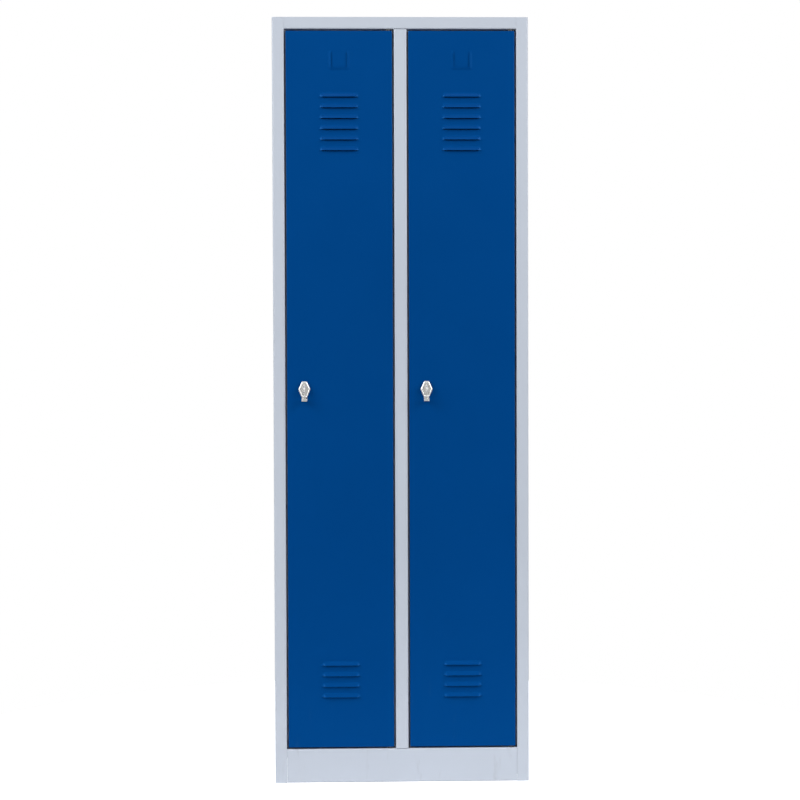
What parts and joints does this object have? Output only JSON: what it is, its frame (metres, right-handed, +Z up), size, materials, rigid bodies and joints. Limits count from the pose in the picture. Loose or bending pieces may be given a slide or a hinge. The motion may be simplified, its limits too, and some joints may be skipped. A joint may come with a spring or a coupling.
{
  "type": "school locker",
  "caption": "Tall sheet-steel locker: side-by-side compartments behind louvred pivot doors with padlock turn latches, hat shelves, rails and coat hooks.",
  "frame": {"origin": "on the floor, at the middle of the whole object's box, handles included", "axes": "+Z up; the doors face -Y; +X to the right of someone facing the doors"},
  "size_m": [0.6, 0.521, 1.8],
  "materials": {
    "grey_paint": "light-grey powder coat, satin",
    "blue_paint": "gentian-blue powder coat, satin",
    "chrome": "bright chrome plate on cast zinc",
    "zinc_plate": "bright zinc plate",
    "black_steel": "black oxide, satin",
    "rubber": "matte black",
    "nylon": "black nylon"
  },
  "bodies": {
    "carcass": {"left_side_panel": "grey_paint", "right_side_panel": "grey_paint", "centre_stile": "grey_paint", "top_rail": "grey_paint", "plinth": "grey_paint", "roof_panel": "grey_paint", "floor_panel": "grey_paint", "back_panel": "grey_paint", "centre_partition": "grey_paint", "left_hat_shelf": "grey_paint", "left_clothes_rail": "zinc_plate", "left_rail_socket_1": "zinc_plate", "left_rail_socket_2": "zinc_plate", "left_buffer_1": "rubber", "left_buffer_2": "rubber", "left_bottom_hinge_plate": "zinc_plate", "left_bottom_hinge_pin": "black_steel", "left_top_hinge_plate": "zinc_plate", "left_top_hinge_pin": "black_steel", "right_hat_shelf": "grey_paint", "right_clothes_rail": "zinc_plate", "right_rail_socket_1": "zinc_plate", "right_rail_socket_2": "zinc_plate", "right_buffer_1": "rubber", "right_buffer_2": "rubber", "right_bottom_hinge_plate": "zinc_plate", "right_bottom_hinge_pin": "black_steel", "right_top_hinge_plate": "zinc_plate", "right_top_hinge_pin": "black_steel"},
    "left_door": {"left_door_panel": "blue_paint", "left_door_stiffener": "blue_paint", "left_latch_base": "chrome", "left_latch_nut": "zinc_plate", "left_bottom_hinge_bush": "nylon", "left_top_hinge_bush": "nylon"},
    "left_latch": {"left_latch_handle": "chrome", "left_latch_spindle": "zinc_plate", "left_latch_cam": "zinc_plate", "left_cam_screw": "zinc_plate"},
    "left_hook_1": {"left_coat_hook_1": "zinc_plate"},
    "left_hook_2": {"left_coat_hook_2": "zinc_plate"},
    "left_hook_3": {"left_coat_hook_3": "zinc_plate"},
    "right_door": {"right_door_panel": "blue_paint", "right_door_stiffener": "blue_paint", "right_latch_base": "chrome", "right_latch_nut": "zinc_plate", "right_bottom_hinge_bush": "nylon", "right_top_hinge_bush": "nylon"},
    "right_latch": {"right_latch_handle": "chrome", "right_latch_spindle": "zinc_plate", "right_latch_cam": "zinc_plate", "right_cam_screw": "zinc_plate"},
    "right_hook_1": {"right_coat_hook_1": "zinc_plate"},
    "right_hook_2": {"right_coat_hook_2": "zinc_plate"},
    "right_hook_3": {"right_coat_hook_3": "zinc_plate"}
  },
  "joints": [
    {"name": "left_door_hinge", "type": "hinge", "parent": "carcass", "child": "left_door", "pos_m": [-0.029, -0.2325, 0.08], "axis": [0, 0, 1], "range_deg": [0, 110]},
    {"name": "left_latch_turn", "type": "hinge", "parent": "left_door", "child": "left_latch", "pos_m": [-0.2275, -0.2395, 0.929], "axis": [0, 1, 0], "range_deg": [0, 90]},
    {"name": "left_hook_1_slide", "type": "slide", "parent": "carcass", "child": "left_hook_1", "axis": [1, 0, 0], "range_m": [-0.039, 0.039]},
    {"name": "left_hook_2_slide", "type": "slide", "parent": "carcass", "child": "left_hook_2", "axis": [1, 0, 0], "range_m": [-0.039, 0.039]},
    {"name": "left_hook_3_slide", "type": "slide", "parent": "carcass", "child": "left_hook_3", "axis": [1, 0, 0], "range_m": [-0.039, 0.039]},
    {"name": "right_door_hinge", "type": "hinge", "parent": "carcass", "child": "right_door", "pos_m": [0.258, -0.2325, 0.08], "axis": [0, 0, 1], "range_deg": [0, 110]},
    {"name": "right_latch_turn", "type": "hinge", "parent": "right_door", "child": "right_latch", "pos_m": [0.0595, -0.2395, 0.929], "axis": [0, 1, 0], "range_deg": [0, 90]},
    {"name": "right_hook_1_slide", "type": "slide", "parent": "carcass", "child": "right_hook_1", "axis": [1, 0, 0], "range_m": [-0.039, 0.039]},
    {"name": "right_hook_2_slide", "type": "slide", "parent": "carcass", "child": "right_hook_2", "axis": [1, 0, 0], "range_m": [-0.039, 0.039]},
    {"name": "right_hook_3_slide", "type": "slide", "parent": "carcass", "child": "right_hook_3", "axis": [1, 0, 0], "range_m": [-0.039, 0.039]}
  ]
}
